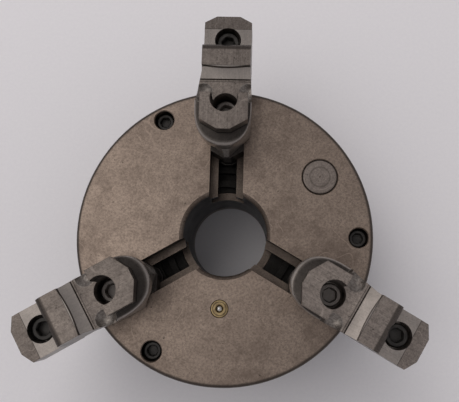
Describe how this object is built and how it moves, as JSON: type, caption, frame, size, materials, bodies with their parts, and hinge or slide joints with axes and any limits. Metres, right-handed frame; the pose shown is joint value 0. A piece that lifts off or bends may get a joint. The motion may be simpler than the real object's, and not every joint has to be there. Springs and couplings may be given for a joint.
{
  "type": "lathe chuck",
  "caption": "Self-centring scroll chuck for a lathe: round steel body with radial slots, two-piece stepped jaws, key-driven pinions and a central through bore.",
  "frame": {"origin": "on the spindle axis at the back face of the adapter plate", "axes": "+Z along the spindle axis from the back towards the jaws, +Y along the first jaw, +X completes the right-handed frame"},
  "size_m": [0.205, 0.1942, 0.1035],
  "materials": {
    "ground_steel": "ground and worn, light brown stain",
    "turned_steel": "fine turned",
    "gear_steel": "oiled, dark",
    "jaw_steel": "ground and worn",
    "black_oxide": "black oxide",
    "brass": "worn",
    "bright_steel": "bright"
  },
  "bodies": {
    "body": {"chuck_body": "ground_steel", "back_plate": "turned_steel", "face_plug": "turned_steel", "oiler_body": "brass", "mounting_screw_1": "black_oxide", "mounting_screw_2": "black_oxide", "mounting_screw_3": "black_oxide", "pinion_pin_1": "bright_steel", "pinion_pin_2": "bright_steel", "pinion_pin_3": "bright_steel"},
    "scroll_plate": {"scroll": "gear_steel"},
    "oiler_ball_body": {"oiler_ball": "bright_steel"},
    "pinion_body_1": {"pinion_1": "turned_steel"},
    "jaw_1": {"master_jaw_1": "gear_steel", "top_jaw_1": "jaw_steel", "jaw_screw_inner_1": "black_oxide", "jaw_screw_outer_1": "black_oxide"},
    "pinion_body_2": {"pinion_2": "turned_steel"},
    "jaw_2": {"master_jaw_2": "gear_steel", "top_jaw_2": "jaw_steel", "jaw_screw_inner_2": "black_oxide", "jaw_screw_outer_2": "black_oxide"},
    "pinion_body_3": {"pinion_3": "turned_steel"},
    "jaw_3": {"master_jaw_3": "gear_steel", "top_jaw_3": "jaw_steel", "jaw_screw_inner_3": "black_oxide", "jaw_screw_outer_3": "black_oxide"}
  },
  "joints": [
    {"name": "scroll_spin", "type": "hinge", "parent": "body", "child": "scroll_plate", "pos_m": [0, 0, 0.036], "axis": [0, 0, 1], "range_deg": [-180, 1680]},
    {"name": "jaw_slide_1", "type": "slide", "parent": "body", "child": "jaw_1", "axis": [0, -1, 0], "range_m": [-0.00401, 0.03734]},
    {"name": "jaw_slide_2", "type": "slide", "parent": "body", "child": "jaw_2", "axis": [0.866, 0.5, 0], "range_m": [-0.00401, 0.03734]},
    {"name": "jaw_slide_3", "type": "slide", "parent": "body", "child": "jaw_3", "axis": [-0.866, 0.5, 0], "range_m": [-0.00401, 0.03734]},
    {"name": "pinion_spin_1", "type": "hinge", "parent": "body", "child": "pinion_body_1", "pos_m": [0.06062, 0.035, 0.0225], "axis": [0.866, 0.5, 0], "range_deg": [-11761, 1261]},
    {"name": "pinion_spin_2", "type": "hinge", "parent": "body", "child": "pinion_body_2", "pos_m": [-0.06062, 0.035, 0.0225], "axis": [-0.866, 0.5, 0], "range_deg": [-11761, 1261]},
    {"name": "pinion_spin_3", "type": "hinge", "parent": "body", "child": "pinion_body_3", "pos_m": [0, -0.07, 0.0225], "axis": [0, -1, 0], "range_deg": [-11761, 1261]},
    {"name": "oiler_press", "type": "slide", "parent": "body", "child": "oiler_ball_body", "axis": [0, 0, -1], "range_m": [0, 0.0008], "stiffness_N_per_m": 200}
  ],
  "couplings": [
    {"joint": "jaw_slide_1", "follows": "scroll_spin", "m_per_rad": 0.0012732},
    {"joint": "jaw_slide_2", "follows": "scroll_spin", "m_per_rad": 0.0012732},
    {"joint": "jaw_slide_3", "follows": "scroll_spin", "m_per_rad": 0.0012732},
    {"joint": "pinion_spin_1", "follows": "scroll_spin", "ratio": -7},
    {"joint": "pinion_spin_2", "follows": "scroll_spin", "ratio": -7},
    {"joint": "pinion_spin_3", "follows": "scroll_spin", "ratio": -7}
  ]
}
